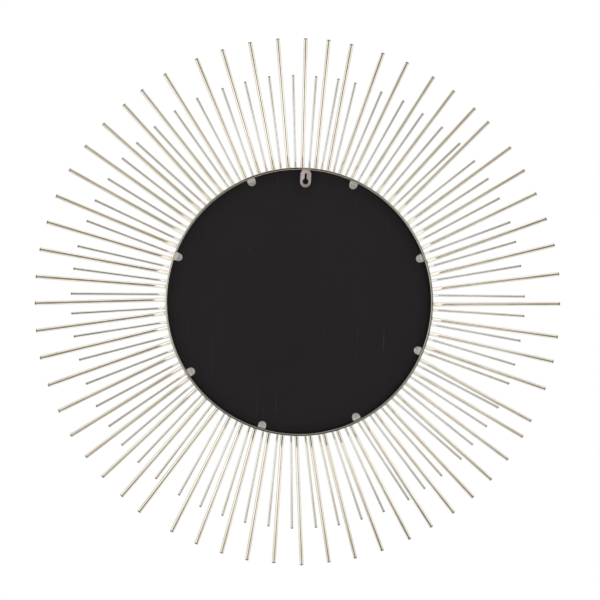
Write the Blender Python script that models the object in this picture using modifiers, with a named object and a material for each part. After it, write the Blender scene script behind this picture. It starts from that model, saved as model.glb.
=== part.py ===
# Round wall mirror in a sunburst of metal rods, built as it hangs on a wall.
# The wall is the plane Y = 0 and the glass faces -Y. The origin is on the back face of the keyhole
# hanger, just above its slot, where the screw carries the weight. Clock angles are in degrees,
# clockwise from the top as seen from the wall side, so a piece at 90 degrees is on the -X side.

import math
import random

import bmesh
import bpy
from mathutils import Matrix, Vector

# Clearances
TOUCH_GAP = 0.0003
EDGE_GAP = 0.0018
CAP_WELD = 0.00001

# Ring that holds the glass, an angle section rolled into a hoop
RING_OUTER_RADIUS = 0.203
RING_WALL = 0.003
RING_DEPTH = 0.015
LIP_THICKNESS = 0.0015
LIP_REACH = 0.0058
RING_SEGMENTS = 120

# Glass and backing board
GLASS_THICKNESS = 0.003
BOARD_THICKNESS = 0.003
DISC_SEGMENTS = 96

# Rods, welded to the outside of the ring and stepped forward a short way out from it
ROD_COUNT = 60
ROD_SEGMENTS = 8
LONG_ROD_DIAMETER = 0.006
LONG_TIP_RADIUS = 0.400
LONG_STEP_LENGTH = 0.022
SHORT_ROD_DIAMETER = 0.004
SHORT_TIP_RADIUS = 0.344
SHORT_STEP_LENGTH = 0.014
STEP_SLOPE = math.radians(14)
ROD_PLANE_DEPTH = 0.012
WELD_SINK = 0.5

# The rods were set by eye, so their clock angles drift: rod number, drift at the ring, at the tip
FIRST_ROD_ANGLE = -2.6
SLOW_DRIFT = (
    (0, 1.2, 1.2),
    (4, -1.0, 0.2),
    (7, -0.3, 0.1),
    (12, 0.2, -0.8),
    (18, 1.6, 1.2),
    (21, 1.3, 0.9),
    (25, 1.4, -0.6),
    (31, 1.0, -0.7),
    (35, 1.0, -1.1),
    (37, 1.7, 0.3),
    (41, 0.5, -0.6),
    (44, 0.9, -0.4),
    (47, 0.2, -0.8),
    (53, 0.6, 0.1),
    (55, 0.5, -0.7),
    (56, 0.2, 0.8),
    (60, 1.2, 1.2),
)
LEANING_TIPS = {1: -0.7, 2: -1.3, 5: 0.5, 8: -1.8, 16: 0.8, 19: 1.8, 26: -0.6, 36: 1.5, 54: -0.5}

# The short rods stand off the middle between the long ones too, by a further drift of that kind
SHORT_DRIFT = (
    (0, 0.0, 0.0),
    (10, -0.2, 0.1),
    (16, -0.7, 0.0),
    (22, -0.4, -0.5),
    (29, -0.8, -0.7),
    (38, -0.3, -0.2),
    (43, -0.7, 0.5),
    (49, -0.4, -0.4),
    (55, 0.5, 0.1),
    (60, 0.0, 0.0),
)
SHORT_LEANING_TIPS = {
    2: -1.4, 11: 0.8, 14: 1.5, 18: -0.9, 22: -0.9,
    25: -0.9, 45: -0.7, 48: 0.7, 52: -0.8, 53: -0.8,
}
BASE_WANDER = 0.1
TIP_WANDER = 0.1
TRIM_WANDER = 0.001
WANDER_SEED = 7

# Tabs bent over the board, each a strip with a round end and a leg along the ring's inner wall
TAB_ANGLES = (22, 67.5, 109.5, 151, 194, 234.5, 287.5, 335.5)
TAB_WIDTH = 0.012
TAB_LENGTH = 0.0108
TAB_THICKNESS = 0.0008
TAB_LEG = 0.006
TAB_END_SEGMENTS = 12

# Keyhole hanger, a stamped plate spot-welded to the back edge of the ring
HANGER_THICKNESS = 0.0012
HANGER_WIDTH = 0.0162
HANGER_NECK_WIDTH = 0.0125
HANGER_NECK_LENGTH = 0.0045
HANGER_SHOULDER = 0.003
HANGER_LENGTH = 0.0288
HANGER_BELOW_RIM = 0.001
SLOT_WIDTH = 0.0034
SLOT_TOP_BELOW_EDGE = 0.0077
HOLE_RADIUS = 0.0045
HOLE_BELOW_SLOT_TOP = 0.0122
ORIGIN_ABOVE_SLOT = 0.0026
ARC_SEGMENTS = 16

# Sizes that follow from the ones above
RING_INNER_RADIUS = RING_OUTER_RADIUS - RING_WALL
RING_BACK_DEPTH = HANGER_THICKNESS + TOUCH_GAP
RING_FRONT_DEPTH = RING_BACK_DEPTH + RING_DEPTH
LIP_INNER_RADIUS = RING_INNER_RADIUS - LIP_REACH
DISC_RADIUS = RING_INNER_RADIUS - EDGE_GAP
GLASS_FRONT_DEPTH = RING_FRONT_DEPTH - LIP_THICKNESS - TOUCH_GAP
GLASS_BACK_DEPTH = GLASS_FRONT_DEPTH - GLASS_THICKNESS
BOARD_FRONT_DEPTH = GLASS_BACK_DEPTH - TOUCH_GAP
BOARD_BACK_DEPTH = BOARD_FRONT_DEPTH - BOARD_THICKNESS
TAB_BACK_DEPTH = BOARD_BACK_DEPTH - TOUCH_GAP - TAB_THICKNESS
RING_FLAT_RADIUS = RING_INNER_RADIUS * math.cos(math.pi / RING_SEGMENTS)
TAB_OUTER_RADIUS = math.sqrt(RING_FLAT_RADIUS ** 2 - (TAB_WIDTH / 2) ** 2) - TOUCH_GAP
HANGER_TOP = SLOT_TOP_BELOW_EDGE - ORIGIN_ABOVE_SLOT
RING_CENTRE_HEIGHT = HANGER_TOP - (RING_OUTER_RADIUS - HANGER_BELOW_RIM)
ROD_PITCH = 360 / ROD_COUNT


def clear_scene():
    for item in list(bpy.data.objects):
        bpy.data.objects.remove(item, do_unlink=True)


def make_material(name, colour, metallic, roughness):
    material = bpy.data.materials.new(name)
    material.use_nodes = True
    shader = material.node_tree.nodes["Principled BSDF"]
    shader.inputs["Base Color"].default_value = (*colour, 1)
    shader.inputs["Metallic"].default_value = metallic
    shader.inputs["Roughness"].default_value = roughness
    return material


def add_object(name, data, collection, material=None):
    item = bpy.data.objects.new(name, data)
    collection.objects.link(item)
    if material:
        item.data.materials.append(material)
    return item


def baked_mesh(source):
    """The evaluated shape of an object as a mesh of its own, with loose caps welded."""
    bpy.context.view_layer.update()
    graph = bpy.context.evaluated_depsgraph_get()
    mesh = bpy.data.meshes.new_from_object(source.evaluated_get(graph))
    shape = bmesh.new()
    shape.from_mesh(mesh)
    bmesh.ops.remove_doubles(shape, verts=shape.verts, dist=CAP_WELD)
    shape.to_mesh(mesh)
    shape.free()
    return mesh


def shade_round(mesh):
    mesh.shade_smooth()
    mesh.set_sharp_from_angle(angle=math.radians(32))


def clock_point(radius, degrees, depth):
    """A point at a clock angle about the ring's centre, a depth in front of the wall."""
    angle = math.radians(degrees)
    height = RING_CENTRE_HEIGHT + radius * math.cos(angle)
    return Vector((-radius * math.sin(angle), -depth, height))


def clock_matrix(degrees):
    """Turns a piece modelled at the top of the ring, facing the wall, to its clock angle."""
    centre = Vector((0, 0, RING_CENTRE_HEIGHT))
    return Matrix.Translation(centre) @ Matrix.Rotation(math.radians(-degrees), 4, "Y")


def arc(centre_x, centre_z, radius, start, end, segments):
    """Points of an arc in the plane of the wall, angles in degrees from +X towards +Z."""
    points = []
    for step in range(segments + 1):
        angle = math.radians(start + (end - start) * step / segments)
        points.append((centre_x + radius * math.cos(angle), centre_z + radius * math.sin(angle)))
    return points


def flat_plate(name, outlines, thickness, back_depth, collection):
    """A plate parallel to the wall from closed outlines in X and Z, the inner ones being holes."""
    curve = bpy.data.curves.new(name, "CURVE")
    curve.dimensions = "2D"
    curve.fill_mode = "BOTH"
    curve.extrude = thickness / 2
    for outline in outlines:
        spline = curve.splines.new("POLY")
        spline.points.add(len(outline) - 1)
        for point, (x, z) in zip(spline.points, outline):
            point.co = (x, z, 0, 1)
        spline.use_cyclic_u = True
    plate = add_object(name, curve, collection)
    plate.location = (0, -(back_depth + thickness / 2), 0)
    plate.rotation_euler = (math.radians(90), 0, 0)
    return plate


def placed_mesh(source):
    """Bakes an object with its own placing and removes the object."""
    mesh = baked_mesh(source)
    mesh.transform(source.matrix_world)
    bpy.data.objects.remove(source, do_unlink=True)
    return mesh


def ring_profile():
    """Section of the ring, radius and height, running down its outer side from the wall."""
    back = -RING_BACK_DEPTH
    front = -RING_FRONT_DEPTH
    ledge = front + LIP_THICKNESS
    return (
        (RING_OUTER_RADIUS, back),
        (RING_OUTER_RADIUS, front),
        (LIP_INNER_RADIUS, front),
        (LIP_INNER_RADIUS, ledge),
        (RING_INNER_RADIUS, ledge),
        (RING_INNER_RADIUS, back),
    )


def build_ring(collection):
    mesh = bpy.data.meshes.new("ring_section")
    shape = bmesh.new()
    corners = [shape.verts.new((radius, 0, height)) for radius, height in ring_profile()]
    for index, corner in enumerate(corners):
        shape.edges.new((corner, corners[(index + 1) % len(corners)]))
    shape.to_mesh(mesh)
    shape.free()
    ring = add_object("sunburst_frame", mesh, collection)
    ring.location = (0, 0, RING_CENTRE_HEIGHT)
    ring.rotation_euler = (math.radians(-90), 0, 0)
    screw = ring.modifiers.new("hoop", "SCREW")
    screw.axis = "Z"
    screw.steps = RING_SEGMENTS
    screw.render_steps = RING_SEGMENTS
    screw.use_merge_vertices = True
    screw.merge_threshold = 0.0001
    return ring


def drift_at(table, rod_number):
    """Eased drift at the ring and at the tip between the numbered rods of a drift table."""
    place = rod_number * table[-1][0] / ROD_COUNT
    for (first, base_a, tip_a), (last, base_b, tip_b) in zip(table, table[1:]):
        if first <= place <= last:
            share = (place - first) / (last - first)
            ease = share * share * (3 - 2 * share)
            return base_a + (base_b - base_a) * ease, tip_a + (tip_b - tip_a) * ease
    return 0, 0


def set_rod(chance, rod_number, tables, lean):
    """Clock angles of one rod at the ring and at the tip, half numbers being short rods."""
    base = FIRST_ROD_ANGLE + ROD_PITCH * rod_number + chance.uniform(-BASE_WANDER, BASE_WANDER)
    tip = FIRST_ROD_ANGLE + ROD_PITCH * rod_number + chance.uniform(-TIP_WANDER, TIP_WANDER) + lean
    for table in tables:
        base_drift, tip_drift = drift_at(table, rod_number)
        base += base_drift
        tip += tip_drift
    return base, tip


def rod_layout():
    """Clock angles at the ring and at the tip, and the tip radius, of every rod."""
    chance = random.Random(WANDER_SEED)
    long_rods = []
    short_rods = []
    for number in range(ROD_COUNT):
        lean = LEANING_TIPS.get(number, 0)
        radius = LONG_TIP_RADIUS - chance.uniform(0, 2 * TRIM_WANDER)
        long_rods.append((*set_rod(chance, number, (SLOW_DRIFT,), lean), radius))
        lean = SHORT_LEANING_TIPS.get(number, 0)
        radius = SHORT_TIP_RADIUS + chance.uniform(-TRIM_WANDER, TRIM_WANDER)
        short_rods.append((*set_rod(chance, number + 0.5, (SLOW_DRIFT, SHORT_DRIFT), lean), radius))
    return long_rods, short_rods


def rod_points(base_angle, tip_angle, tip_radius, step_length):
    """Root inside the ring's wall, end of the step and tip, straight as seen from the wall."""
    root_radius = RING_OUTER_RADIUS - RING_WALL * WELD_SINK
    base_depth = ROD_PLANE_DEPTH - step_length * math.tan(STEP_SLOPE)
    root = clock_point(root_radius, base_angle, base_depth)
    tip = clock_point(tip_radius, tip_angle, ROD_PLANE_DEPTH)
    run = tip - root
    run.y = 0
    step_end = root + run.normalized() * (step_length + RING_OUTER_RADIUS - root_radius)
    step_end.y = -ROD_PLANE_DEPTH
    return root, step_end, tip


def build_rods(name, rods, diameter, step_length, collection):
    """One mesh of closed round rods, used only to be joined to the ring."""
    curve = bpy.data.curves.new(name, "CURVE")
    curve.dimensions = "3D"
    curve.bevel_depth = diameter / 2
    curve.bevel_resolution = ROD_SEGMENTS // 2 - 2
    curve.use_fill_caps = True
    for base_angle, tip_angle, tip_radius in rods:
        route = rod_points(base_angle, tip_angle, tip_radius, step_length)
        spline = curve.splines.new("POLY")
        spline.points.add(len(route) - 1)
        for point, place in zip(spline.points, route):
            point.co = (*place, 1)
    source = add_object(name + "_curve", curve, collection)
    joiner = add_object(name, placed_mesh(source), collection)
    joiner.hide_render = True
    joiner.display_type = "WIRE"
    return joiner


def join_to_ring(ring, joiner):
    weld = ring.modifiers.new("weld_" + joiner.name, "BOOLEAN")
    weld.operation = "UNION"
    weld.solver = "EXACT"
    weld.object = joiner


def build_frame(collection, joiners, material):
    ring = build_ring(collection)
    long_rods, short_rods = rod_layout()
    long_joiner = build_rods("long_rods", long_rods, LONG_ROD_DIAMETER, LONG_STEP_LENGTH, joiners)
    short_joiner = build_rods("short_rods", short_rods, SHORT_ROD_DIAMETER, SHORT_STEP_LENGTH, joiners)
    join_to_ring(ring, long_joiner)
    join_to_ring(ring, short_joiner)
    ring.data.materials.append(material)


def build_disc(name, front_depth, back_depth, collection, material):
    bpy.ops.mesh.primitive_cylinder_add(
        vertices=DISC_SEGMENTS,
        radius=DISC_RADIUS,
        depth=front_depth - back_depth,
        location=(0, -(front_depth + back_depth) / 2, RING_CENTRE_HEIGHT),
        rotation=(math.radians(-90), 0, 0),
    )
    disc = bpy.context.object
    disc.name = name
    for home in list(disc.users_collection):
        home.objects.unlink(disc)
    collection.objects.link(disc)
    shade_round(disc.data)
    disc.data.materials.append(material)


def tab_mesh(collection):
    """A tab at the top of a ring centred on the origin, its tongue on the board."""
    half = TAB_WIDTH / 2
    inner_centre = TAB_OUTER_RADIUS - TAB_LENGTH + half
    outline = [(half, TAB_OUTER_RADIUS), (-half, TAB_OUTER_RADIUS)]
    outline += arc(0, inner_centre, half, 180, 360, TAB_END_SEGMENTS)
    tongue = flat_plate("tab_tongue", [outline], TAB_THICKNESS, TAB_BACK_DEPTH, collection)
    tab = add_object("tab", placed_mesh(tongue), collection)
    leg_depth = TAB_LEG + TAB_THICKNESS
    bpy.ops.mesh.primitive_cube_add(
        size=1,
        location=(0, -(TAB_BACK_DEPTH + leg_depth / 2), TAB_OUTER_RADIUS - TAB_THICKNESS / 2),
        scale=(TAB_WIDTH, leg_depth, TAB_THICKNESS),
    )
    leg = bpy.context.object
    fold = tab.modifiers.new("fold", "BOOLEAN")
    fold.operation = "UNION"
    fold.solver = "EXACT"
    fold.object = leg
    mesh = placed_mesh(tab)
    bpy.data.objects.remove(leg, do_unlink=True)
    shade_round(mesh)
    return mesh


def build_tabs(collection, material):
    mesh = tab_mesh(collection)
    mesh.materials.append(material)
    for number, angle in enumerate(TAB_ANGLES, start=1):
        tab = add_object(f"retaining_tab_{number}", mesh, collection)
        tab.matrix_world = clock_matrix(angle)


def hanger_outline():
    half = HANGER_WIDTH / 2
    neck = HANGER_NECK_WIDTH / 2
    neck_end = HANGER_TOP - HANGER_NECK_LENGTH
    shoulder_end = neck_end - HANGER_SHOULDER
    round_centre = HANGER_TOP - HANGER_LENGTH + half
    outline = [(neck, neck_end), (neck, HANGER_TOP), (-neck, HANGER_TOP), (-neck, neck_end)]
    outline.append((-half, shoulder_end))
    outline += arc(0, round_centre, half, 180, 360, ARC_SEGMENTS)
    outline.append((half, shoulder_end))
    return outline


def keyhole_outline():
    half = SLOT_WIDTH / 2
    slot_top = HANGER_TOP - SLOT_TOP_BELOW_EDGE
    hole_centre = slot_top - HOLE_BELOW_SLOT_TOP
    mouth = math.degrees(math.acos(half / HOLE_RADIUS))
    outline = arc(0, slot_top - half, half, 0, 180, ARC_SEGMENTS // 2)
    outline += arc(0, hole_centre, HOLE_RADIUS, 180 - mouth, 360 + mouth, ARC_SEGMENTS * 2)
    return outline


def build_hanger(collection, material):
    outlines = [hanger_outline(), keyhole_outline()]
    plate = flat_plate("keyhole_plate", outlines, HANGER_THICKNESS, 0, collection)
    hanger = add_object("keyhole_hanger", placed_mesh(plate), collection, material)
    shade_round(hanger.data)


def build():
    clear_scene()
    parts = bpy.data.collections.new("sunburst_wall_mirror")
    joiners = bpy.data.collections.new("rods_to_join")
    bpy.context.scene.collection.children.link(parts)
    bpy.context.scene.collection.children.link(joiners)
    gilt = make_material("champagne_gilt_steel", (0.62, 0.50, 0.33), 1.0, 0.25)
    glass = make_material("silvered_glass", (0.86, 0.88, 0.88), 1.0, 0.03)
    black = make_material("black_board", (0.020, 0.018, 0.019), 0.0, 0.75)
    tin = make_material("bright_tinplate", (0.62, 0.60, 0.60), 1.0, 0.3)
    zinc = make_material("zinc_plated_hanger", (0.58, 0.52, 0.53), 1.0, 0.35)
    build_frame(parts, joiners, gilt)
    build_disc("mirror_glass", GLASS_FRONT_DEPTH, GLASS_BACK_DEPTH, parts, glass)
    build_disc("backing_board", BOARD_FRONT_DEPTH, BOARD_BACK_DEPTH, parts, black)
    build_tabs(parts, tin)
    build_hanger(parts, zinc)


build()
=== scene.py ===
import math
import random

import bmesh
import bpy
from mathutils import Matrix, Vector


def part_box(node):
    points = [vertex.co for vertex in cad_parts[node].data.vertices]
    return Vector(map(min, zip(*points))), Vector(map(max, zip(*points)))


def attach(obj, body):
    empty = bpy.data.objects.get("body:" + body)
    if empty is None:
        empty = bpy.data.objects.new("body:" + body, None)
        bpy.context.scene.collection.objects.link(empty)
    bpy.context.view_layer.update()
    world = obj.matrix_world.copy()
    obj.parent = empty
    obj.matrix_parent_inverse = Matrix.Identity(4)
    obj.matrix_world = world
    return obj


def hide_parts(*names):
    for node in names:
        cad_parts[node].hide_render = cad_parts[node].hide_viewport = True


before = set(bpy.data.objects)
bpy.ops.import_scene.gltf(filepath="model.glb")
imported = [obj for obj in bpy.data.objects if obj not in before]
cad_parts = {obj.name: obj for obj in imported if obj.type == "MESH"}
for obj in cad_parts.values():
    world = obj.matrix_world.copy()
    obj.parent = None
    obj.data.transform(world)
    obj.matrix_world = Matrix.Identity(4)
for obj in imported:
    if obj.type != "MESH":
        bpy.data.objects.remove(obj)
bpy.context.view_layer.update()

# Ring that holds the glass, an angle section rolled into a hoop
RING_OUTER_RADIUS = 0.203
RING_WALL = 0.003
RING_DEPTH = 0.015
RING_BACK_DEPTH = 0.0015
LIP_THICKNESS = 0.0015
LIP_REACH = 0.0058
RING_CORNER = 0.0004
RIM_SLOPE = math.radians(8)
RING_STEPS = 240

# Glass and board, whose places come from the frame
GLASS_ARRIS = 0.0004
BOARD_ARRIS = 0.0005
DISC_SIDES = 240

# Rods, welded to the outside of the ring and stepped forward a short way out from it
ROD_COUNT = 60
LONG_ROD_DIAMETER = 0.006
LONG_TIP_RADIUS = 0.400
LONG_STEP_LENGTH = 0.022
SHORT_ROD_DIAMETER = 0.004
SHORT_TIP_RADIUS = 0.344
SHORT_STEP_LENGTH = 0.014
STEP_SLOPE = math.radians(14)
ROD_PLANE_DEPTH = 0.012
STEP_STRAIGHT = 0.6
STEP_BEND = 0.45
STEP_RINGS = 8
LONG_ROD_SIDES = 20
SHORT_ROD_SIDES = 16
TIP_ROUND = 0.0016
TIP_RINGS = 4
TIP_FLATNESS = 0.55
TIP_TURN = math.radians(75)
TONE_SEED = 31

# The rods were set by eye, so their clock angles drift: rod number, drift at the ring, at the tip
FIRST_ROD_ANGLE = -2.6
SLOW_DRIFT = (
    (0, 1.2, 1.2),
    (4, -1.0, 0.2),
    (7, -0.3, 0.1),
    (12, 0.2, -0.8),
    (18, 1.6, 1.2),
    (21, 1.3, 0.9),
    (25, 1.4, -0.6),
    (31, 1.0, -0.7),
    (35, 1.0, -1.1),
    (37, 1.7, 0.3),
    (41, 0.5, -0.6),
    (44, 0.9, -0.4),
    (47, 0.2, -0.8),
    (53, 0.6, 0.1),
    (55, 0.5, -0.7),
    (56, 0.2, 0.8),
    (60, 1.2, 1.2),
)
LEANING_TIPS = {1: -0.7, 2: -1.3, 5: 0.5, 8: -1.8, 16: 0.8, 19: 1.8, 26: -0.6, 36: 1.5, 54: -0.5}

# The short rods stand off the middle between the long ones too, by a further drift of that kind
SHORT_DRIFT = (
    (0, 0.0, 0.0),
    (10, -0.2, 0.1),
    (16, -0.7, 0.0),
    (22, -0.4, -0.5),
    (29, -0.8, -0.7),
    (38, -0.3, -0.2),
    (43, -0.7, 0.5),
    (49, -0.4, -0.4),
    (55, 0.5, 0.1),
    (60, 0.0, 0.0),
)
SHORT_LEANING_TIPS = {
    2: -1.4, 11: 0.8, 14: 1.5, 18: -0.9, 22: -0.9,
    25: -0.9, 45: -0.7, 48: 0.7, 52: -0.8, 53: -0.8,
}
BASE_WANDER = 0.1
TIP_WANDER = 0.1
TRIM_WANDER = 0.001
WANDER_SEED = 7

# Weld beads round the roots of the rods
BEAD_THICKNESS = 0.0009
BEAD_OVERHANG = 0.35
BEAD_THINNEST = 0.7
BEAD_THICKEST = 1.1
BEAD_LUMPS = 0.00025
WELD_SEED = 19

# Tabs bent over the board
TAB_ANGLES = (22, 67.5, 109.5, 151, 194, 234.5, 287.5, 335.5)
TAB_WIDTH = 0.012
TAB_LENGTH = 0.0108
TAB_THICKNESS = 0.0008
TAB_BEND = 0.0012
TAB_BEND_STEPS = 5
TAB_LEG = 0.0045
TAB_OFF_RING = 0.0004
TAB_EDGE_ROUND = 0.00018
TAB_RIM = 0.0013
TAB_RIM_FALL = 0.5
TAB_DISH = 0.00015
TAB_SIDES = 40

# Keyhole hanger, a stamped plate spot-welded to the back edge of the ring
HANGER_WIDTH = 0.0162
HANGER_NECK_WIDTH = 0.0125
HANGER_NECK_LENGTH = 0.0045
HANGER_SHOULDER = 0.003
HANGER_EDGE_ROUND = 0.0004
HANGER_RIM = 0.0012
HANGER_RIM_FALL = 0.6
HANGER_RELIEF = 0.0002
HANGER_SIDES = 64
SLOT_WIDTH = 0.0034
SLOT_TOP_BELOW_EDGE = 0.0077
SLOT_SIDES = 32
HOLE_RADIUS = 0.0045
HOLE_BELOW_SLOT_TOP = 0.0122
HOLE_SIDES = 48

# Distances within which places count as the same, and within which points are merged
TOUCH = 0.00001
MERGE = 0.000005

# Places that follow from the frame and from the sizes above
GLASS_LOW, GLASS_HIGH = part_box("mirror_glass")
BOARD_LOW, BOARD_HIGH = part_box("backing_board")
HANGER_LOW, HANGER_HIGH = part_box("keyhole_hanger")
_, TAB_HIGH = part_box("retaining_tab_1")
CENTRE_HEIGHT = (BOARD_LOW[2] + BOARD_HIGH[2]) / 2
RING_INNER_RADIUS = RING_OUTER_RADIUS - RING_WALL
RING_FRONT_DEPTH = RING_BACK_DEPTH + RING_DEPTH
ROOT_RADIUS = RING_OUTER_RADIUS - RING_WALL / 2
ROD_PITCH = 360 / ROD_COUNT
TAB_BACK = TAB_HIGH[1]

# Camera, on the wall side at the height of the ring's centre
CAMERA_TARGET = Vector((-0.0005, 0, -0.1941))
CAMERA_DISTANCE = 2.4
CAMERA_TURN = math.radians(2.64)
CAMERA_RISE = math.radians(0.15)
CAMERA_ROLL = math.radians(2.8)
CAMERA_LENS = 95.4
CAMERA_SENSOR = 36

# Colours of the finishes
GILT_LIGHT = (0.89, 0.86, 0.79)
GILT_DEEP = (0.84, 0.78, 0.67)
GILT_WORN = (0.79, 0.72, 0.60)
PALE_LIGHT = (0.83, 0.84, 0.83)
PALE_DEEP = (0.78, 0.79, 0.77)
RING_LIGHT = (0.86, 0.85, 0.80)
RING_DEEP = (0.74, 0.72, 0.66)
# Painted shade for the ring's darker side, laid on below
RING_PAINTED_SHADE = (0.30, 0.30, 0.27)
TARNISH = (0.36, 0.31, 0.24)
# Near-black painted shade for the round ends of the rods
TIP_PAINTED_SHADE = (0.12, 0.11, 0.10)
HEAT_TINT = (0.42, 0.32, 0.20)
DUST = (0.55, 0.53, 0.50)
BOARD_DARK = (0.0125, 0.0105, 0.0118)
BOARD_LIGHT = (0.0165, 0.0140, 0.0158)
BOARD_GRAIN = (0.022, 0.019, 0.021)
BOARD_SCRATCH = (0.06, 0.055, 0.058)
BOARD_SPECK = (0.16, 0.15, 0.15)
TIN_LIGHT = (0.72, 0.70, 0.69)
TIN_DEEP = (0.56, 0.54, 0.53)
ZINC_LIGHT = (0.72, 0.65, 0.66)
ZINC_DEEP = (0.58, 0.51, 0.52)
SHEET_MARK = (0.38, 0.34, 0.33)
HANGER_BURN = (0.30, 0.24, 0.20)
GLASS_LIGHT = (0.90, 0.92, 0.915)
GLASS_DEEP = (0.87, 0.895, 0.89)
FLOOR_LIGHT = (0.87, 0.87, 0.87)
FLOOR_DEEP = (0.84, 0.84, 0.84)

# Wear of the rods: heat tint at the welds and tarnish towards the tips, and painted shade that
# darkens the round ends
WELD_HEAT_REACH = 0.009
WELD_HEAT_SHARE = 0.35
TARNISH_NEAR = 0.015
TARNISH_FAR = 0.085
TARNISH_SHARE = 0.3
TIP_SHADE_NEAR = 0.0007
TIP_SHADE_FAR = 0.0024

# Painted shade on the ring, standing in for its darker reflections, which grows downwards and
# towards one side
RING_SHADE_LEAN = -0.6
RING_SHADE_START = -0.2
RING_SHADE_FULL = 0.06
RING_SHADE_SHARE = 0.9

# Heat marks on the hanger, below its top edge
HANGER_HEAT_NEAR = 0.001
HANGER_HEAT_FAR = 0.0055

# Pale tent round the mirror, its colours and the degrees over which they change
TENT_SIDES = (1.20, 1.20, 1.20)
TENT_FRONT = (0.65, 0.65, 0.65)
TENT_FRONT_START = 105
TENT_FRONT_FULL = 150
TENT_TOP = (1.38, 1.38, 1.38)
TENT_TOP_START = 35
TENT_TOP_FULL = 70

# Places behind the camera: degrees left and up, half width, half height, strength, colour
ROOM_BEHIND_CAMERA = (
    (-1, 0, 25, 46, 0.9, (0.54, 0.50, 0.42)),
    (5, 0, 5, 6, 0.3, (1.00, 0.97, 0.88)),
    (0, 33, 50, 12, 0.7, (0.20, 0.15, 0.07)),
    (0, -36, 50, 12, 0.8, (0.05, 0.04, 0.02)),
    (-42, 17, 12, 14, 0.9, (1.60, 1.60, 1.58)),
    (38, 4, 10, 18, 0.9, (1.60, 1.60, 1.60)),
    (2, 26, 24, 22, 1.0, (0.10, 0.06, 0.01)),
    (-2, -37, 30, 17, 1.0, (0.02, 0.01, 0.01)),
    (0, 9.5, 16, 7.5, 1.0, (0.04, 0.02, 0.01)),
    (-27, -8, 11, 20, 0.9, (0.12, 0.10, 0.07)),
    (-11, -1, 7, 8, 1.0, (1.80, 1.82, 1.80)),
)

# Floor, far enough down to stay out of the photo's view
FLOOR_DROP = 1.12
FLOOR_RADIUS = 2.4
FLOOR_SIDES = 128


# Small helpers for work in edit mode

def deselect():
    if bpy.context.object and bpy.context.object.mode != "OBJECT":
        bpy.ops.object.mode_set(mode="OBJECT")
    bpy.ops.object.select_all(action="DESELECT")


def pick_only(piece):
    deselect()
    piece.select_set(True)
    bpy.context.view_layer.objects.active = piece


def settle(piece):
    """Puts the piece's place, turn and scale into its mesh."""
    pick_only(piece)
    bpy.ops.object.transform_apply(location=True, rotation=True, scale=True)


def edit(piece):
    pick_only(piece)
    bpy.ops.object.mode_set(mode="EDIT")
    bpy.ops.mesh.select_all(action="DESELECT")


def leave_edit():
    bpy.ops.object.mode_set(mode="OBJECT")


def pick_all():
    bpy.ops.mesh.select_all(action="SELECT")


def pick_vertices(piece, test):
    bpy.ops.mesh.select_mode(type="VERT")
    bpy.ops.mesh.select_all(action="DESELECT")
    shape = bmesh.from_edit_mesh(piece.data)
    for vertex in shape.verts:
        vertex.select_set(bool(test(vertex.co)))
    shape.select_flush(True)
    bmesh.update_edit_mesh(piece.data)


def pick_edges(piece, test):
    bpy.ops.mesh.select_mode(type="EDGE")
    bpy.ops.mesh.select_all(action="DESELECT")
    shape = bmesh.from_edit_mesh(piece.data)
    for edge in shape.edges:
        middle = (edge.verts[0].co + edge.verts[1].co) / 2
        edge.select_set(bool(test(middle)))
    bmesh.update_edit_mesh(piece.data)


def pick_faces(piece, test):
    bpy.ops.mesh.select_mode(type="FACE")
    bpy.ops.mesh.select_all(action="DESELECT")
    shape = bmesh.from_edit_mesh(piece.data)
    for face in shape.faces:
        face.select_set(bool(test(face.normal)))
    bmesh.update_edit_mesh(piece.data)


def extrude_by(x, y, z):
    bpy.ops.mesh.extrude_region_move(TRANSFORM_OT_translate={"value": (x, y, z)})


def close_and_face_outwards():
    pick_all()
    bpy.ops.mesh.remove_doubles(threshold=MERGE)
    bpy.ops.mesh.normals_make_consistent(inside=False)


def apply_modifier(piece, kind, **settings):
    pick_only(piece)
    modifier = piece.modifiers.new(kind.lower(), kind)
    for name, value in settings.items():
        setattr(modifier, name, value)
    bpy.ops.object.modifier_apply(modifier=modifier.name)


def shade_by_angle(piece, degrees):
    pick_only(piece)
    bpy.ops.object.shade_smooth_by_angle(angle=math.radians(degrees))


def copy_piece(piece, name):
    twin = piece.copy()
    twin.data = piece.data.copy()
    twin.name = name
    bpy.context.scene.collection.objects.link(twin)
    return twin


def join_pieces(pieces, name):
    deselect()
    for piece in pieces:
        piece.select_set(True)
    bpy.context.view_layer.objects.active = pieces[0]
    bpy.ops.object.join()
    joined = bpy.context.object
    joined.name = name
    return joined


def hand_over(piece, name, material, node):
    """Names a finished piece, gives it its material and ties it to the frame."""
    piece.name = name
    piece.data.name = name
    piece.data.materials.clear()
    piece.data.materials.append(material)
    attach(piece, "root")
    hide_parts(node)


# Rod layout, the same as the solid frame's

def drift_at(table, rod_number):
    """Eased drift at the ring and at the tip between the numbered rods of a drift table."""
    place = rod_number * table[-1][0] / ROD_COUNT
    for (first, base_a, tip_a), (last, base_b, tip_b) in zip(table, table[1:]):
        if first <= place <= last:
            share = (place - first) / (last - first)
            ease = share * share * (3 - 2 * share)
            return base_a + (base_b - base_a) * ease, tip_a + (tip_b - tip_a) * ease
    return 0, 0


def set_rod(chance, rod_number, tables, lean):
    """Clock angles of one rod at the ring and at the tip, half numbers being short rods."""
    base = FIRST_ROD_ANGLE + ROD_PITCH * rod_number + chance.uniform(-BASE_WANDER, BASE_WANDER)
    tip = FIRST_ROD_ANGLE + ROD_PITCH * rod_number + chance.uniform(-TIP_WANDER, TIP_WANDER) + lean
    for table in tables:
        base_drift, tip_drift = drift_at(table, rod_number)
        base += base_drift
        tip += tip_drift
    return base, tip


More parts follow.
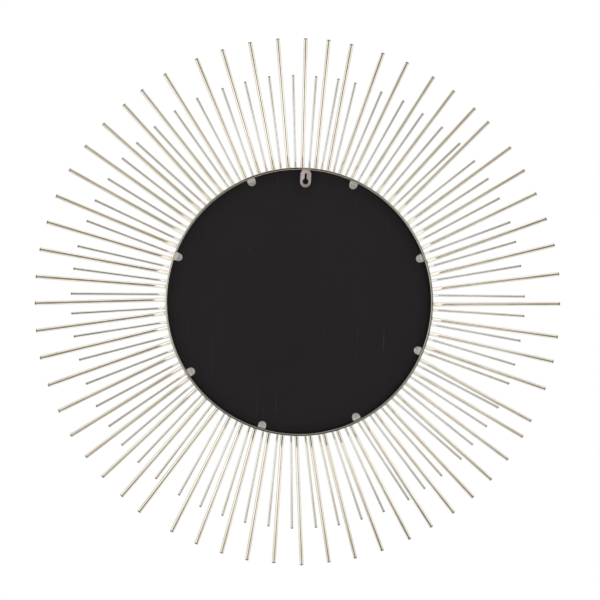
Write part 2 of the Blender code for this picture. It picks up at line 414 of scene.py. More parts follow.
def rod_layout():
    """Clock angles at the ring and at the tip, and the tip radius, of every rod."""
    chance = random.Random(WANDER_SEED)
    long_rods = []
    short_rods = []
    for number in range(ROD_COUNT):
        lean = LEANING_TIPS.get(number, 0)
        radius = LONG_TIP_RADIUS - chance.uniform(0, 2 * TRIM_WANDER)
        long_rods.append((*set_rod(chance, number, (SLOW_DRIFT,), lean), radius))
        lean = SHORT_LEANING_TIPS.get(number, 0)
        radius = SHORT_TIP_RADIUS + chance.uniform(-TRIM_WANDER, TRIM_WANDER)
        short_rods.append((*set_rod(chance, number + 0.5, (SLOW_DRIFT, SHORT_DRIFT), lean), radius))
    return long_rods, short_rods


def clock_spot(radius, degrees):
    angle = math.radians(degrees)
    return Vector((-radius * math.sin(angle), 0, radius * math.cos(angle)))


def rod_run(base_angle, tip_angle, tip_radius):
    """Root of a rod from the ring's centre, its heading as a clock angle and its length."""
    root = clock_spot(ROOT_RADIUS, base_angle)
    run = clock_spot(tip_radius, tip_angle) - root
    heading = math.atan2(-run.x, run.z)
    return root, heading, run.length


# Pieces of the frame

def build_gilt_ring(material):
    """The ring and its front lip, drawn as one profile and spun round the centre."""
    deselect()
    middle_depth = RING_BACK_DEPTH + RING_DEPTH / 2
    bpy.ops.mesh.primitive_plane_add(
        size=1,
        location=(0, -middle_depth, CENTRE_HEIGHT + RING_OUTER_RADIUS - RING_WALL / 2),
        rotation=(0, math.radians(90), 0),
    )
    ring = bpy.context.object
    ring.scale = (RING_WALL, RING_DEPTH, 1)
    settle(ring)
    edit(ring)
    ledge = -RING_FRONT_DEPTH + LIP_THICKNESS
    inner_height = CENTRE_HEIGHT + RING_INNER_RADIUS
    pick_all()
    bpy.ops.mesh.bisect(plane_co=(0, ledge, inner_height), plane_no=(0, 1, 0))
    pick_edges(ring, lambda middle: middle.y < ledge and abs(middle.z - inner_height) < TOUCH)
    extrude_by(0, 0, -LIP_REACH)
    pick_all()
    bpy.ops.mesh.select_mode(type="FACE")
    bpy.ops.mesh.dissolve_faces(use_verts=True)
    outer_height = CENTRE_HEIGHT + RING_OUTER_RADIUS
    back = -RING_BACK_DEPTH
    pick_vertices(ring, lambda place: place.z > outer_height - TOUCH and place.y > back - TOUCH)
    bpy.ops.transform.translate(value=(0, -RING_WALL * math.tan(RIM_SLOPE), 0))
    pick_all()
    bpy.ops.mesh.bevel(offset=RING_CORNER, segments=3, affect="VERTICES")
    pick_all()
    bpy.ops.mesh.delete(type="ONLY_FACE")
    pick_all()
    bpy.ops.mesh.spin(
        steps=RING_STEPS,
        angle=2 * math.pi,
        center=(0, 0, CENTRE_HEIGHT),
        axis=(0, 1, 0),
    )
    close_and_face_outwards()
    leave_edit()
    shade_by_angle(ring, 40)
    hand_over(ring, "gilt_ring", material, "sunburst_frame")


def step_path(step_length):
    """Heights above the root, depths and slopes of a rod's step: a straight part, then a bend."""
    drop = step_length * math.tan(STEP_SLOPE)
    bend_start = step_length * STEP_STRAIGHT
    bend = step_length * STEP_BEND
    steep = drop / (bend_start + bend / 2)
    stations = [(0, ROD_PLANE_DEPTH - drop, math.atan(steep))]
    for ring in range(STEP_RINGS + 1):
        left = 1 - ring / STEP_RINGS
        height = bend_start + bend * (1 - left)
        depth = ROD_PLANE_DEPTH - steep * bend / 2 * left ** 2
        stations.append((height, depth, math.atan(steep * left)))
    return stations


def model_rod(diameter, sides, step_length, length):
    """One rod standing on its root at the origin, the step drawn forward from the ring."""
    deselect()
    stations = step_path(step_length)
    height, depth, slope = stations[0]
    bpy.ops.mesh.primitive_circle_add(
        vertices=sides,
        radius=diameter / 2,
        fill_type="NGON",
        location=(0, -depth, 0),
        rotation=(slope, 0, 0),
    )
    rod = bpy.context.object
    settle(rod)
    edit(rod)
    pick_all()
    for next_height, next_depth, next_slope in stations[1:]:
        extrude_by(0, depth - next_depth, next_height - height)
        bpy.ops.transform.rotate(
            value=slope - next_slope,
            orient_axis="X",
            center_override=(0, -next_depth, next_height),
        )
        height, depth, slope = next_height, next_depth, next_slope
    extrude_by(0, 0, length - TIP_ROUND - height)
    width = 1
    for ring in range(1, TIP_RINGS + 1):
        before = TIP_TURN * (ring - 1) / TIP_RINGS
        after = TIP_TURN * ring / TIP_RINGS
        rise = TIP_ROUND * (math.sin(after) - math.sin(before)) / math.sin(TIP_TURN)
        extrude_by(0, 0, rise)
        next_width = 1 - TIP_FLATNESS * (1 - math.cos(after))
        shrink = next_width / width
        bpy.ops.transform.resize(value=(shrink, shrink, 1), center_override=(0, -depth, 0))
        width = next_width
    close_and_face_outwards()
    leave_edit()
    shade_by_angle(rod, 50)
    from_tip = rod.data.attributes.new("from_tip", "FLOAT", "POINT")
    for vertex, entry in zip(rod.data.vertices, from_tip.data):
        entry.value = length - vertex.co.z
    return rod


def build_rods(name, rods, diameter, sides, step_length, nominal_radius, material):
    """Copies of one modelled rod, each drawn to its own length and laid in its own place."""
    nominal = nominal_radius - ROOT_RADIUS
    pattern = model_rod(diameter, sides, step_length, nominal)
    chance = random.Random(TONE_SEED)
    copies = []
    for number, rod in enumerate(rods):
        root, heading, length = rod_run(*rod)
        copy = copy_piece(pattern, f"{name}_{number}")
        edit(copy)
        pick_vertices(copy, lambda place: place.z > nominal / 2)
        bpy.ops.transform.translate(value=(0, 0, length - nominal))
        leave_edit()
        copy.rotation_euler = (0, -heading, 0)
        copy.location = root + Vector((0, 0, CENTRE_HEIGHT))
        settle(copy)
        tone = copy.data.attributes.new("rod_tone", "FLOAT", "POINT")
        tone_of_rod = chance.random()
        for entry in tone.data:
            entry.value = tone_of_rod
        copies.append(copy)
    bpy.data.objects.remove(pattern, do_unlink=True)
    joined = join_pieces(copies, name)
    hand_over(joined, name, material, "sunburst_frame")


def build_welds(name, rods, diameter, step_length, material):
    """A lumpy bead round the root of each rod, where it meets the ring."""
    chance = random.Random(WELD_SEED)
    _, root_depth, slope = step_path(step_length)[0]
    out = RING_OUTER_RADIUS - ROOT_RADIUS
    bead_depth = root_depth + out * math.tan(slope)
    beads = []
    for number, rod in enumerate(rods):
        root, heading, _ = rod_run(*rod)
        deselect()
        bpy.ops.mesh.primitive_torus_add(
            location=(0, -bead_depth, out),
            rotation=(slope, 0, chance.uniform(0, 6)),
            major_radius=diameter / 2 + BEAD_THICKNESS * BEAD_OVERHANG,
            minor_radius=BEAD_THICKNESS * chance.uniform(BEAD_THINNEST, BEAD_THICKEST),
            major_segments=18,
            minor_segments=8,
        )
        bead = bpy.context.object
        settle(bead)
        edit(bead)
        pick_all()
        bpy.ops.transform.vertex_random(offset=BEAD_LUMPS, seed=number)
        leave_edit()
        bead.rotation_euler = (0, -heading, 0)
        bead.location = root + Vector((0, 0, CENTRE_HEIGHT))
        settle(bead)
        beads.append(bead)
    joined = join_pieces(beads, name)
    apply_modifier(joined, "SUBSURF", levels=1, render_levels=1)
    shade_by_angle(joined, 80)
    hand_over(joined, name, material, "sunburst_frame")


# Glass, board, tabs and hanger

def build_disc(name, low, high, arris, material, node):
    """A round sheet with arrised edges, where the frame has its solid."""
    deselect()
    bpy.ops.mesh.primitive_circle_add(
        vertices=DISC_SIDES,
        radius=(high[0] - low[0]) / 2,
        fill_type="NGON",
        location=((low[0] + high[0]) / 2, low[1], CENTRE_HEIGHT),
        rotation=(math.radians(90), 0, 0),
    )
    disc = bpy.context.object
    settle(disc)
    edit(disc)
    pick_all()
    extrude_by(0, high[1] - low[1], 0)
    close_and_face_outwards()
    leave_edit()
    apply_modifier(disc, "BEVEL", width=arris, segments=2, limit_method="ANGLE")
    shade_by_angle(disc, 30)
    hand_over(disc, name, material, node)


def add_half_disc(radius, sides, depth, height):
    """The lower half of a round sheet, left in edit mode with its straight edge picked."""
    deselect()
    bpy.ops.mesh.primitive_circle_add(
        vertices=sides,
        radius=radius,
        fill_type="NGON",
        location=(0, depth, height),
        rotation=(math.radians(90), 0, 0),
    )
    sheet = bpy.context.object
    settle(sheet)
    edit(sheet)
    pick_all()
    bpy.ops.mesh.bisect(
        plane_co=(0, depth, height),
        plane_no=(0, 0, 1),
        clear_outer=True,
        use_fill=False,
    )
    pick_edges(sheet, lambda middle: middle.z > height - TOUCH)
    return sheet


def model_tab():
    """A tab at the top of a ring centred on the origin: round tongue, bend and leg."""
    half = TAB_WIDTH / 2
    leg_radius = math.sqrt(RING_INNER_RADIUS ** 2 - half ** 2) - TAB_OFF_RING
    bend_start = leg_radius - TAB_BEND
    tongue_centre = leg_radius - TAB_LENGTH + half
    tab = add_half_disc(half, TAB_SIDES, TAB_BACK, tongue_centre)
    extrude_by(0, 0, bend_start - tongue_centre)
    pick_faces(tab, lambda normal: True)
    bpy.ops.mesh.dissolve_faces(use_verts=False)
    pick_faces(tab, lambda normal: True)
    bpy.ops.mesh.inset(thickness=TAB_RIM, depth=0)
    bpy.ops.mesh.inset(thickness=TAB_RIM * TAB_RIM_FALL, depth=0)
    bpy.ops.transform.translate(value=(0, -TAB_DISH, 0))
    pick_edges(tab, lambda middle: middle.z > bend_start - TOUCH)
    for _ in range(TAB_BEND_STEPS):
        extrude_by(0, 0, 0)
        bpy.ops.transform.rotate(
            value=math.radians(90) / TAB_BEND_STEPS,
            orient_axis="X",
            center_override=(0, TAB_BACK - TAB_BEND, bend_start),
        )
    extrude_by(0, -TAB_LEG, 0)
    pick_all()
    bpy.ops.mesh.normals_make_consistent(inside=False)
    leave_edit()
    return tab


def build_tabs(material):
    """One tab, given its thickness and rounded edges, then copied round the ring."""
    pattern = model_tab()
    apply_modifier(pattern, "SOLIDIFY", thickness=TAB_THICKNESS, offset=-1)
    apply_modifier(pattern, "BEVEL", width=TAB_EDGE_ROUND, segments=2, limit_method="ANGLE")
    shade_by_angle(pattern, 35)
    for number, angle in enumerate(TAB_ANGLES, start=1):
        tab = copy_piece(pattern, f"bent_tab_{number}")
        tab.rotation_euler = (0, math.radians(-angle), 0)
        tab.location = (0, 0, CENTRE_HEIGHT)
        settle(tab)
        hand_over(tab, f"bent_tab_{number}", material, f"retaining_tab_{number}")
    bpy.data.objects.remove(pattern, do_unlink=True)


def add_plug(radius, sides, depth, height):
    """A round plug right through the plate, three times as long as the plate is thick."""
    bpy.ops.mesh.primitive_cylinder_add(
        vertices=sides,
        radius=radius,
        depth=depth * 3,
        location=(0, -depth / 2, height),
        rotation=(math.radians(90), 0, 0),
    )
    return bpy.context.object


def model_keyhole(depth):
    """The keyhole as a solid plug, used to cut the plate."""
    deselect()
    slot_top = HANGER_HIGH[2] - SLOT_TOP_BELOW_EDGE
    slot_height = slot_top - SLOT_WIDTH / 2
    hole_height = slot_top - HOLE_BELOW_SLOT_TOP
    hole = add_plug(HOLE_RADIUS, HOLE_SIDES, depth, hole_height)
    slot = add_plug(SLOT_WIDTH / 2, SLOT_SIDES, depth, slot_height)
    settle(slot)
    edit(slot)
    pick_vertices(slot, lambda place: place.z < slot_height + TOUCH)
    bpy.ops.transform.translate(value=(0, 0, hole_height - slot_height))
    leave_edit()
    settle(hole)
    apply_modifier(hole, "BOOLEAN", operation="UNION", object=slot)
    bpy.data.objects.remove(slot, do_unlink=True)
    return hole


def build_hanger(material):
    """The stamped plate: round foot, shoulders and neck, a raised rim and the keyhole."""
    half = HANGER_WIDTH / 2
    thickness = HANGER_HIGH[1] - HANGER_LOW[1]
    round_height = HANGER_LOW[2] + half
    neck_start = HANGER_HIGH[2] - HANGER_NECK_LENGTH
    shoulder_start = neck_start - HANGER_SHOULDER
    plate = add_half_disc(half, HANGER_SIDES, HANGER_LOW[1], round_height)
    extrude_by(0, 0, shoulder_start - round_height)
    extrude_by(0, 0, HANGER_SHOULDER)
    narrowing = HANGER_NECK_WIDTH / HANGER_WIDTH
    bpy.ops.transform.resize(value=(narrowing, 1, 1), center_override=(0, 0, neck_start))
    extrude_by(0, 0, HANGER_NECK_LENGTH)
    pick_faces(plate, lambda normal: True)
    bpy.ops.mesh.dissolve_faces(use_verts=False)
    pick_all()
    extrude_by(0, thickness, 0)
    close_and_face_outwards()
    pick_faces(plate, lambda normal: normal.y > 0.9)
    bpy.ops.mesh.inset(thickness=HANGER_RIM, depth=0)
    bpy.ops.mesh.inset(thickness=HANGER_RIM * HANGER_RIM_FALL, depth=0)
    bpy.ops.transform.translate(value=(0, -HANGER_RELIEF, 0))
    leave_edit()
    keyhole = model_keyhole(thickness)
    apply_modifier(plate, "BOOLEAN", operation="DIFFERENCE", object=keyhole)
    bpy.data.objects.remove(keyhole, do_unlink=True)
    apply_modifier(plate, "BEVEL", width=HANGER_EDGE_ROUND, segments=3, limit_method="ANGLE")
    shade_by_angle(plate, 35)
    hand_over(plate, "stamped_hanger", material, "keyhole_hanger")


# Node groups that the finishes share

def new_group(name, inputs, outputs):
    group = bpy.data.node_groups.new(name, "ShaderNodeTree")
    for label, kind, value in inputs:
        socket = group.interface.new_socket(label, in_out="INPUT", socket_type=kind)
        socket.default_value = value
    for label, kind in outputs:
        group.interface.new_socket(label, in_out="OUTPUT", socket_type=kind)
    entry = group.nodes.new("NodeGroupInput")
    result = group.nodes.new("NodeGroupOutput")
    return group, entry.outputs, result.inputs


def feed(tree, socket, value):
    """Links a socket to a socket, or sets it where the value is plain."""
    if isinstance(value, bpy.types.NodeSocket):
        tree.links.new(value, socket)
    elif value is not None:
        socket.default_value = value


def work(tree, operation, first, second=None, third=None):
    node = tree.nodes.new("ShaderNodeMath")
    node.operation = operation
    for socket, value in zip(node.inputs, (first, second, third)):
        feed(tree, socket, value)
    return node.outputs["Value"]


def turn_vector(tree, operation, first, second=None):
    node = tree.nodes.new("ShaderNodeVectorMath")
    node.operation = operation
    feed(tree, node.inputs[0], first)
    feed(tree, node.inputs[1], second)
    return node


def split_parts(tree, vector):
    node = tree.nodes.new("ShaderNodeSeparateXYZ")
    feed(tree, node.inputs["Vector"], vector)
    return node.outputs


def join_parts(tree, x, y, z):
    node = tree.nodes.new("ShaderNodeCombineXYZ")
    for label, value in (("X", x), ("Y", y), ("Z", z)):
        feed(tree, node.inputs[label], value)
    return node.outputs["Vector"]


def carried_value(tree, name):
    """A value that the piece carries on its points."""
    node = tree.nodes.new("ShaderNodeAttribute")
    node.attribute_name = name
    return node.outputs["Fac"]


def spread(tree, value, low, high, low_result, high_result, smooth=False):
    """Maps a value from one range to another, cut off at both ends."""
    node = tree.nodes.new("ShaderNodeMapRange")
    if smooth:
        node.interpolation_type = "SMOOTHSTEP"
    for label, entry in (
        ("Value", value),
        ("From Min", low),
        ("From Max", high),
        ("To Min", low_result),
        ("To Max", high_result),
    ):
        feed(tree, node.inputs[label], entry)
    return node.outputs["Result"]


def blend(tree, share, first, second):
    node = tree.nodes.new("ShaderNodeMix")
    node.data_type = "RGBA"
    feed(tree, node.inputs["Factor"], share)
    for socket, colour in ((node.inputs[6], first), (node.inputs[7], second)):
        feed(tree, socket, (*colour, 1) if isinstance(colour, tuple) else colour)
    return node.outputs[2]


def noise(tree, vector, scale, detail, roughness=0.5):
    node = tree.nodes.new("ShaderNodeTexNoise")
    feed(tree, node.inputs["Vector"], vector)
    feed(tree, node.inputs["Scale"], scale)
    feed(tree, node.inputs["Detail"], detail)
    feed(tree, node.inputs["Roughness"], roughness)
    return node.outputs["Fac"]


def cloudy_tone_group():
    """Soft blotches between two values, such as uneven plating or paint."""
    group, entry, result = new_group(
        "cloudy_tone",
        (
            ("Vector", "NodeSocketVector", (0, 0, 0)),
            ("Scale", "NodeSocketFloat", 20),
            ("Detail", "NodeSocketFloat", 3),
            ("Low", "NodeSocketFloat", 0),
            ("High", "NodeSocketFloat", 1),
        ),
        (("Value", "NodeSocketFloat"),),
    )
    cloud = noise(group, entry["Vector"], entry["Scale"], entry["Detail"], 0.6)
    feed(group, result["Value"], spread(group, cloud, 0.3, 0.7, entry["Low"], entry["High"]))
    return group


def fine_scratches_group():
    """Long thin scratches along Z, sparse, with their mask and their depth."""
    group, entry, result = new_group(
        "fine_scratches",
        (
            ("Vector", "NodeSocketVector", (0, 0, 0)),
            ("Fineness", "NodeSocketFloat", 900),
            ("Length", "NodeSocketFloat", 12),
            ("Cover", "NodeSocketFloat", 0.1),
        ),
        (("Mask", "NodeSocketFloat"), ("Height", "NodeSocketFloat")),
    )
    stretch = join_parts(group, entry["Fineness"], entry["Fineness"], entry["Length"])
    drawn = turn_vector(group, "MULTIPLY", entry["Vector"], stretch)
    line = noise(group, drawn.outputs["Vector"], 1, 1.5)
    where = noise(group, entry["Vector"], 14, 2)
    limit = spread(group, entry["Cover"], 0, 1, 0.78, 0.5)
    thin = spread(group, line, limit, work(group, "ADD", limit, 0.05), 0, 1, True)
    mask = work(group, "MULTIPLY", thin, spread(group, where, 0.42, 0.62, 0, 1, True))
    feed(group, result["Mask"], mask)
    feed(group, result["Height"], work(group, "MULTIPLY", mask, -1))
    return group


def dust_specks_group():
    """Small round specks of dust or chipped paint, each with its own chance to show."""
    group, entry, result = new_group(
        "dust_specks",
        (
            ("Vector", "NodeSocketVector", (0, 0, 0)),
            ("Scale", "NodeSocketFloat", 200),
            ("Cover", "NodeSocketFloat", 0.1),
            ("Size", "NodeSocketFloat", 0.2),
        ),
        (("Mask", "NodeSocketFloat"),),
    )
    cells = group.nodes.new("ShaderNodeTexVoronoi")
    feed(group, cells.inputs["Vector"], entry["Vector"])
    feed(group, cells.inputs["Scale"], entry["Scale"])
    draw = group.nodes.new("ShaderNodeSeparateColor")
    group.links.new(cells.outputs["Color"], draw.inputs["Color"])
    shown = work(group, "LESS_THAN", draw.outputs["Red"], entry["Cover"])
    own_size = spread(group, draw.outputs["Green"], 0, 1, 0.5, 1.5)
    size = work(group, "MULTIPLY", entry["Size"], own_size)
    core = work(group, "MULTIPLY", size, 0.6)
    round_spot = spread(group, cells.outputs["Distance"], core, size, 1, 0, True)
    feed(group, result["Mask"], work(group, "MULTIPLY", round_spot, shown))
    return group


def from_centre_group():
    """Distance from the ring's axis, and a place that runs slowly along the rods and fast across."""
    group, entry, result = new_group(
        "from_centre",
        (
            ("Vector", "NodeSocketVector", (0, 0, 0)),
            ("Centre Height", "NodeSocketFloat", 0),
            ("Across", "NodeSocketFloat", 300),
            ("Along", "NodeSocketFloat", 20),
        ),
        (("Radius", "NodeSocketFloat"), ("Drawn", "NodeSocketVector")),
    )
    place = split_parts(group, entry["Vector"])
    height = work(group, "SUBTRACT", place["Z"], entry["Centre Height"])
    flat = join_parts(group, place["X"], 0, height)
    radius = turn_vector(group, "LENGTH", flat).outputs["Value"]
    heading = turn_vector(group, "NORMALIZE", flat).outputs["Vector"]
    parts = split_parts(group, heading)
    x = work(group, "MULTIPLY", parts["X"], entry["Across"])
    z = work(group, "MULTIPLY", parts["Z"], entry["Across"])
    depth = work(group, "MULTIPLY", place["Y"], 900)
    y = work(group, "MULTIPLY_ADD", radius, entry["Along"], depth)
    feed(group, result["Radius"], radius)
    feed(group, result["Drawn"], join_parts(group, x, y, z))
    return group


def place_group(tree, name, **values):
    """Places a shared group in a material. A value's name has its spaces as underscores."""
    node = tree.nodes.new("ShaderNodeGroup")
    node.node_tree = bpy.data.node_groups[name]
    for label, value in values.items():
        feed(tree, node.inputs[label.replace("_", " ")], value)
    return node.outputs


# Finishes

def start_finish(name, metallic):
    material = bpy.data.materials.new(name)
    material.use_nodes = True
    tree = material.node_tree
    shader = tree.nodes["Principled BSDF"]
    shader.inputs["Metallic"].default_value = metallic
    place = tree.nodes.new("ShaderNodeTexCoord").outputs["Object"]
    return material, tree, shader, place


def add_bump(tree, shader, height, distance):
    bump = tree.nodes.new("ShaderNodeBump")
    bump.inputs["Strength"].default_value = 1
    bump.inputs["Distance"].default_value = distance
    tree.links.new(height, bump.inputs["Height"])
    tree.links.new(bump.outputs["Normal"], shader.inputs["Normal"])


def gilt_finish(name, light, deep, on_rods):
    """Champagne gilt on drawn steel: uneven tone, drawing lines, heat tint at the welds, with
    painted shade at the rod ends and on one side of the ring.
    """
    material, tree, shader, place = start_finish(name, 1)
    centre = place_group(tree, "from_centre", Vector=place, Centre_Height=CENTRE_HEIGHT)
    tone = place_group(tree, "cloudy_tone", Vector=place, Scale=26, Detail=4)["Value"]
    colour = blend(tree, tone, light, deep)
    lines = noise(tree, centre["Drawn"], 1, 3)
    specks = place_group(tree, "dust_specks", Vector=place, Scale=420, Cover=0.05, Size=0.25)["Mask"]
    roughness = spread(tree, lines, 0.3, 0.7, 0.13, 0.22)
    if on_rods:
        rod_tone = carried_value(tree, "rod_tone")
        colour = blend(tree, spread(tree, rod_tone, 0, 1, 0, 0.5), colour, GILT_WORN)
        from_tip = carried_value(tree, "from_tip")
        tarnish = spread(tree, from_tip, TARNISH_NEAR, TARNISH_FAR, TARNISH_SHARE, 0, True)
        colour = blend(tree, tarnish, colour, TARNISH)
        # Painted shade: the round ends of the rods are painted near black, as if they were in shade
        burn_and_painted_shade = spread(tree, from_tip, TIP_SHADE_NEAR, TIP_SHADE_FAR, 1, 0, True)
        colour = blend(tree, burn_and_painted_shade, colour, TIP_PAINTED_SHADE)
        roughness = work(tree, "MAXIMUM", roughness, spread(tree, burn_and_painted_shade, 0, 1, 0.1, 0.45))
        heat_end = RING_OUTER_RADIUS + WELD_HEAT_REACH
        near_weld = spread(tree, centre["Radius"], RING_OUTER_RADIUS, heat_end, 1, 0, True)
        heat = work(tree, "MULTIPLY", work(tree, "MULTIPLY", near_weld, tone), WELD_HEAT_SHARE)
        colour = blend(tree, heat, colour, HEAT_TINT)
    else:
        # Painted shade: the ring is darkened downwards and towards -X, standing in for darker
        # reflections there
        parts = split_parts(tree, place)
        low = work(tree, "SUBTRACT", CENTRE_HEIGHT, parts["Z"])
        side = work(tree, "MULTIPLY_ADD", parts["X"], RING_SHADE_LEAN, low)
        painted_ring_shade = spread(tree, side, RING_SHADE_START, RING_SHADE_FULL, 0, RING_SHADE_SHARE, True)
        colour = blend(tree, painted_ring_shade, colour, RING_PAINTED_SHADE)
    colour = blend(tree, work(tree, "MULTIPLY", specks, 0.35), colour, DUST)
    tree.links.new(colour, shader.inputs["Base Color"])
    tree.links.new(roughness, shader.inputs["Roughness"])
    add_bump(tree, shader, lines, 0.00002)
    return material


def weld_finish():
    """Weld beads, sprayed over: mottled gold and brown, rougher than the rods."""
    material, tree, shader, place = start_finish("sprayed_weld", 1)
    tone = place_group(tree, "cloudy_tone", Vector=place, Scale=260, Detail=4)["Value"]
    soot = place_group(tree, "cloudy_tone", Vector=place, Scale=70, Detail=2)["Value"]
    colour = blend(tree, work(tree, "MULTIPLY", soot, 0.75), GILT_LIGHT, HEAT_TINT)
    tree.links.new(colour, shader.inputs["Base Color"])
    tree.links.new(spread(tree, tone, 0, 1, 0.22, 0.5), shader.inputs["Roughness"])
    add_bump(tree, shader, tone, 0.0002)
    return material


def silver_finish():
    """Flat silvered glass with a faint haze and a few specks of dust."""
    material, tree, shader, place = start_finish("silvered_glass_finish", 1)
    haze = place_group(tree, "cloudy_tone", Vector=place, Scale=6, Detail=3)["Value"]
    specks = place_group(tree, "dust_specks", Vector=place, Scale=90, Cover=0.03, Size=0.05)["Mask"]
    colour = blend(tree, haze, GLASS_LIGHT, GLASS_DEEP)
    colour = blend(tree, work(tree, "MULTIPLY", specks, 0.5), colour, DUST)
    rough = spread(tree, haze, 0, 1, 0.012, 0.035)
    tree.links.new(colour, shader.inputs["Base Color"])
    tree.links.new(work(tree, "MULTIPLY_ADD", specks, 0.3, rough), shader.inputs["Roughness"])
    return material


def board_finish():
    """Matt black painted board: faint clouding, scratches, scuffs and pale specks."""
    material, tree, shader, place = start_finish("black_board_finish", 0)
    shader.inputs["Specular IOR Level"].default_value = 0.15
    cloud = place_group(tree, "cloudy_tone", Vector=place, Scale=9, Detail=5)["Value"]
    grain = place_group(tree, "cloudy_tone", Vector=place, Scale=420, Detail=3)["Value"]
    colour = blend(tree, cloud, BOARD_DARK, BOARD_LIGHT)
    colour = blend(tree, work(tree, "MULTIPLY", grain, 0.3), colour, BOARD_GRAIN)
    scratch = place_group(tree, "fine_scratches", Vector=place, Fineness=520, Length=9, Cover=0.3)
    colour = blend(tree, work(tree, "MULTIPLY", scratch["Mask"], 0.4), colour, BOARD_SCRATCH)
    specks = place_group(tree, "dust_specks", Vector=place, Scale=75, Cover=0.10, Size=0.05)["Mask"]
    colour = blend(tree, work(tree, "MULTIPLY", specks, 0.5), colour, BOARD_SPECK)
    tree.links.new(colour, shader.inputs["Base Color"])
    rough = work(tree, "MULTIPLY_ADD", scratch["Mask"], -0.15, spread(tree, cloud, 0, 1, 0.62, 0.8))
    tree.links.new(rough, shader.inputs["Roughness"])
    height = work(tree, "MULTIPLY_ADD", scratch["Height"], 0.4, work(tree, "MULTIPLY", grain, 0.5))
    add_bump(tree, shader, height, 0.00006)
    return material


def sheet_finish(name, light, deep, low_rough, high_rough):
    """Plated sheet steel: rolling lines, spangle and a few darker handling marks."""
    material, tree, shader, place = start_finish(name, 1)
    tone = place_group(tree, "cloudy_tone", Vector=place, Scale=150, Detail=4)["Value"]
    marks = place_group(tree, "dust_specks", Vector=place, Scale=700, Cover=0.18, Size=0.4)["Mask"]
    colour = blend(tree, tone, light, deep)
    colour = blend(tree, work(tree, "MULTIPLY", marks, 0.2), colour, SHEET_MARK)
    scratch = place_group(tree, "fine_scratches", Vector=place, Fineness=3000, Length=150, Cover=0.5)
    tree.links.new(colour, shader.inputs["Base Color"])
    plain_rough = spread(tree, tone, 0, 1, low_rough, high_rough)
    rough = work(tree, "MULTIPLY_ADD", scratch["Mask"], 0.12, plain_rough)
    tree.links.new(rough, shader.inputs["Roughness"])
    add_bump(tree, shader, work(tree, "ADD", scratch["Height"], tone), 0.00004)
    return material


def hanger_finish():
    """The plate's zinc, with brown heat marks where it is spot-welded to the ring."""
    material = sheet_finish("zinc_plate_finish", ZINC_LIGHT, ZINC_DEEP, 0.28, 0.42)
    tree = material.node_tree
    shader = tree.nodes["Principled BSDF"]
    plain = shader.inputs["Base Color"].links[0].from_socket
    place = tree.nodes.new("ShaderNodeTexCoord").outputs["Object"]
    heat_low = HANGER_HIGH[2] - HANGER_HEAT_FAR
    heat_high = HANGER_HIGH[2] - HANGER_HEAT_NEAR
    near = spread(tree, split_parts(tree, place)["Z"], heat_low, heat_high, 0, 1, True)
    blotch = place_group(tree, "cloudy_tone", Vector=place, Scale=420, Detail=3, Low=0.35, High=1)
    burn_and_painted_shade = work(tree, "MULTIPLY", near, blotch["Value"])
    tree.links.new(blend(tree, burn_and_painted_shade, plain, HANGER_BURN), shader.inputs["Base Color"])
    return material


def floor_finish():
    material, tree, shader, place = start_finish("pale_floor", 0)
    tone = place_group(tree, "cloudy_tone", Vector=place, Scale=1.5, Detail=3)["Value"]
    tree.links.new(blend(tree, tone, FLOOR_DEEP, FLOOR_LIGHT), shader.inputs["Base Color"])
    tree.links.new(spread(tree, tone, 0, 1, 0.85, 0.95), shader.inputs["Roughness"])
    return material


# Surroundings, floor and camera

def soft_panel_group():
    """Mask of a soft oval seen in a direction, given as degrees round and above the horizon."""
    group, entry, result = new_group(
        "soft_panel",
        (
            ("Turn", "NodeSocketFloat", 0),
            ("Rise", "NodeSocketFloat", 0),
            ("Centre Turn", "NodeSocketFloat", 0),
            ("Centre Rise", "NodeSocketFloat", 0),
            ("Half Width", "NodeSocketFloat", 20),
            ("Half Height", "NodeSocketFloat", 20),
            ("Strength", "NodeSocketFloat", 1),
        ),
        (("Mask", "NodeSocketFloat"),),
    )
    off_turn = work(group, "SUBTRACT", entry["Turn"], entry["Centre Turn"])
    off_rise = work(group, "SUBTRACT", entry["Rise"], entry["Centre Rise"])
    wide = work(group, "POWER", work(group, "DIVIDE", off_turn, entry["Half Width"]), 2)
    tall = work(group, "POWER", work(group, "DIVIDE", off_rise, entry["Half Height"]), 2)
    reach = work(group, "SQRT", work(group, "ADD", wide, tall))
    mask = spread(group, reach, 0.6, 1.4, 1, 0, True)
    feed(group, result["Mask"], work(group, "MULTIPLY", mask, entry["Strength"]))
    return group


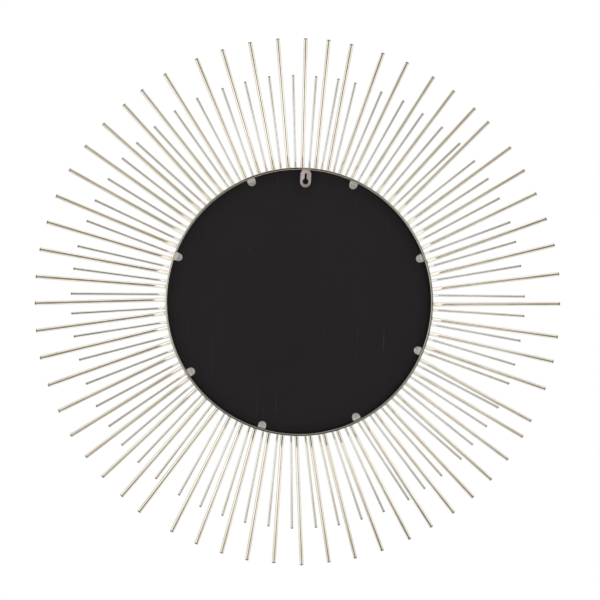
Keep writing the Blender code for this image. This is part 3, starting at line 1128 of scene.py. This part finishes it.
def build_surroundings():
    """A pale studio tent, with the darker and brighter places of the room behind the camera."""
    world = bpy.data.worlds.new("studio")
    bpy.context.scene.world = world
    world.use_nodes = True
    tree = world.node_tree
    tree.nodes.clear()
    direction = split_parts(tree, tree.nodes.new("ShaderNodeTexCoord").outputs["Generated"])
    rise = work(tree, "DEGREES", work(tree, "ARCSINE", direction["Z"]))
    turn = work(tree, "DEGREES", work(tree, "ARCTAN2", direction["X"], direction["Y"]))
    aside = work(tree, "ABSOLUTE", turn)
    in_front = spread(tree, aside, TENT_FRONT_START, TENT_FRONT_FULL, 0, 1, True)
    colour = blend(tree, in_front, TENT_SIDES, TENT_FRONT)
    off_level = work(tree, "ABSOLUTE", rise)
    above_or_below = spread(tree, off_level, TENT_TOP_START, TENT_TOP_FULL, 0, 1, True)
    colour = blend(tree, above_or_below, colour, TENT_TOP)
    for panel in ROOM_BEHIND_CAMERA:
        centre_turn, centre_rise, half_width, half_height, strength, shade = panel
        soft_panel = place_group(
            tree,
            "soft_panel",
            Turn=turn,
            Rise=rise,
            Centre_Turn=centre_turn,
            Centre_Rise=centre_rise,
            Half_Width=half_width,
            Half_Height=half_height,
            Strength=strength,
        )
        colour = blend(tree, soft_panel["Mask"], colour, shade)
    studio = tree.nodes.new("ShaderNodeBackground")
    tree.links.new(colour, studio.inputs["Color"])
    backdrop = tree.nodes.new("ShaderNodeBackground")
    backdrop.inputs["Color"].default_value = (1, 1, 1, 1)
    path = tree.nodes.new("ShaderNodeLightPath")
    choose = tree.nodes.new("ShaderNodeMixShader")
    output = tree.nodes.new("ShaderNodeOutputWorld")
    tree.links.new(path.outputs["Is Camera Ray"], choose.inputs["Fac"])
    tree.links.new(studio.outputs["Background"], choose.inputs[1])
    tree.links.new(backdrop.outputs["Background"], choose.inputs[2])
    tree.links.new(choose.outputs["Shader"], output.inputs["Surface"])


def build_floor():
    deselect()
    bpy.ops.mesh.primitive_circle_add(
        vertices=FLOOR_SIDES,
        radius=FLOOR_RADIUS,
        fill_type="NGON",
        location=(0, 0, CENTRE_HEIGHT - FLOOR_DROP),
    )
    floor = bpy.context.object
    floor.name = "pale_floor"
    floor.data.materials.append(floor_finish())
    floor.visible_glossy = False


def build_camera():
    back = Vector((
        math.sin(CAMERA_TURN) * math.cos(CAMERA_RISE),
        math.cos(CAMERA_TURN) * math.cos(CAMERA_RISE),
        math.sin(CAMERA_RISE),
    ))
    data = bpy.data.cameras.new("wall_side")
    data.lens = CAMERA_LENS
    data.sensor_width = CAMERA_SENSOR
    camera = bpy.data.objects.new("wall_side", data)
    bpy.context.scene.collection.objects.link(camera)
    facing = back.to_track_quat("Z", "Y").to_matrix().to_4x4()
    camera.matrix_world = (
        Matrix.Translation(CAMERA_TARGET + back * CAMERA_DISTANCE)
        @ facing
        @ Matrix.Rotation(CAMERA_ROLL, 4, "Z")
    )
    bpy.context.scene.camera = camera
    bpy.context.scene.view_settings.view_transform = "Standard"


def build():
    cloudy_tone_group()
    fine_scratches_group()
    dust_specks_group()
    from_centre_group()
    soft_panel_group()
    ring_gilt = gilt_finish("ring_gilt", RING_LIGHT, RING_DEEP, False)
    long_gilt = gilt_finish("long_rod_gilt", GILT_LIGHT, GILT_DEEP, True)
    short_gilt = gilt_finish("short_rod_gilt", PALE_LIGHT, PALE_DEEP, True)
    weld = weld_finish()
    long_rods, short_rods = rod_layout()
    build_gilt_ring(ring_gilt)
    build_rods(
        "long_rods", long_rods, LONG_ROD_DIAMETER, LONG_ROD_SIDES,
        LONG_STEP_LENGTH, LONG_TIP_RADIUS, long_gilt,
    )
    build_rods(
        "short_rods", short_rods, SHORT_ROD_DIAMETER, SHORT_ROD_SIDES,
        SHORT_STEP_LENGTH, SHORT_TIP_RADIUS, short_gilt,
    )
    build_welds("long_rod_welds", long_rods, LONG_ROD_DIAMETER, LONG_STEP_LENGTH, weld)
    build_welds("short_rod_welds", short_rods, SHORT_ROD_DIAMETER, SHORT_STEP_LENGTH, weld)
    build_disc(
        "silvered_disc", GLASS_LOW, GLASS_HIGH, GLASS_ARRIS,
        silver_finish(), "mirror_glass",
    )
    build_disc(
        "black_disc", BOARD_LOW, BOARD_HIGH, BOARD_ARRIS,
        board_finish(), "backing_board",
    )
    build_tabs(sheet_finish("tinplate_finish", TIN_LIGHT, TIN_DEEP, 0.3, 0.45))
    build_hanger(hanger_finish())
    build_floor()
    build_surroundings()
    build_camera()


build()
